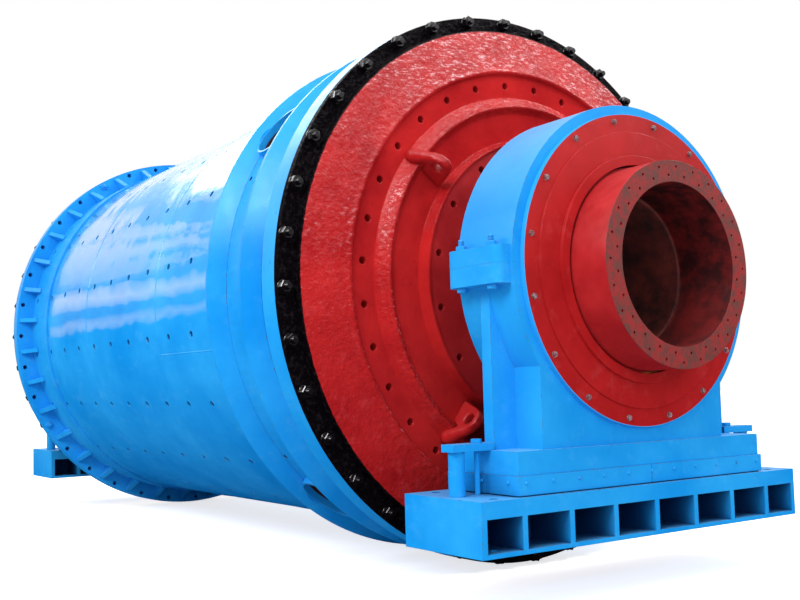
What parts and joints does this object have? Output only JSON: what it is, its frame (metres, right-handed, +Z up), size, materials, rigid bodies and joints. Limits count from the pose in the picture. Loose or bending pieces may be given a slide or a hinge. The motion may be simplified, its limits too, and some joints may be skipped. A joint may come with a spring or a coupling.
{
  "type": "rod mill",
  "caption": "Rod mill: a welded drum with cast end covers, hollow trunnions and side discharge ports, turning in two split trunnion bearings on bases.",
  "frame": {"origin": "middle of the discharge bearing's base, on its underside, where it lies on its foundation", "axes": "+X along the mill axis, outwards at the discharge end; +Z up; +Y completes the right-handed frame"},
  "size_m": [6.853, 3.0298, 3.0298],
  "materials": {
    "drum_blue": "gloss",
    "bearing_blue": "satin",
    "bearing_blue_casting": "satin paint",
    "red_casting": "satin paint over a rough casting",
    "trunnion_steel": "red paint, with rust on the machined end face",
    "seal_red": "satin",
    "sleeve_steel": "rusty",
    "bolt_black": "rough, tarry",
    "bolt_steel": "zinc plated",
    "bush_bronze": "machined"
  },
  "bodies": {
    "bearings": {"discharge_base": "bearing_blue", "discharge_sole_plate": "bearing_blue", "discharge_guard_strips": "bearing_blue", "discharge_pedestal": "bearing_blue_casting", "discharge_bush": "bush_bronze", "discharge_cap": "bearing_blue_casting", "discharge_outer_disc": "seal_red", "discharge_inner_disc": "bearing_blue", "discharge_gland": "seal_red", "discharge_studs": "bearing_blue", "discharge_clamps": "bearing_blue", "discharge_posts": "bearing_blue", "discharge_clamp_bolts": "bearing_blue", "feed_base": "bearing_blue", "feed_sole_plate": "bearing_blue", "feed_guard_strips": "bearing_blue", "feed_pedestal": "bearing_blue_casting", "feed_bush": "bush_bronze", "feed_cap": "bearing_blue_casting", "feed_outer_disc": "seal_red", "feed_inner_disc": "bearing_blue", "feed_gland": "seal_red", "feed_studs": "bearing_blue", "feed_clamps": "bearing_blue", "feed_posts": "bearing_blue", "feed_clamp_bolts": "bearing_blue"},
    "drum": {"shell_feed_course": "drum_blue", "shell_middle_course": "drum_blue", "shell_discharge_course": "drum_blue", "feed_flange": "drum_blue", "feed_neck_ring": "drum_blue", "feed_gussets": "drum_blue", "port_band": "drum_blue", "front_seal_ring": "drum_blue", "rear_seal_ring": "drum_blue", "discharge_end_flange": "drum_blue", "discharge_cover": "red_casting", "discharge_lugs": "red_casting", "discharge_trunnion": "trunnion_steel", "discharge_sleeve": "sleeve_steel", "feed_cover": "red_casting", "feed_lugs": "red_casting", "feed_trunnion": "trunnion_steel", "feed_sleeve": "sleeve_steel"}
  },
  "joints": [
    {"name": "drum_turn", "type": "hinge", "parent": "bearings", "child": "drum", "pos_m": [-2.9475, 0, 1.268], "axis": [1, 0, 0], "continuous": true}
  ]
}
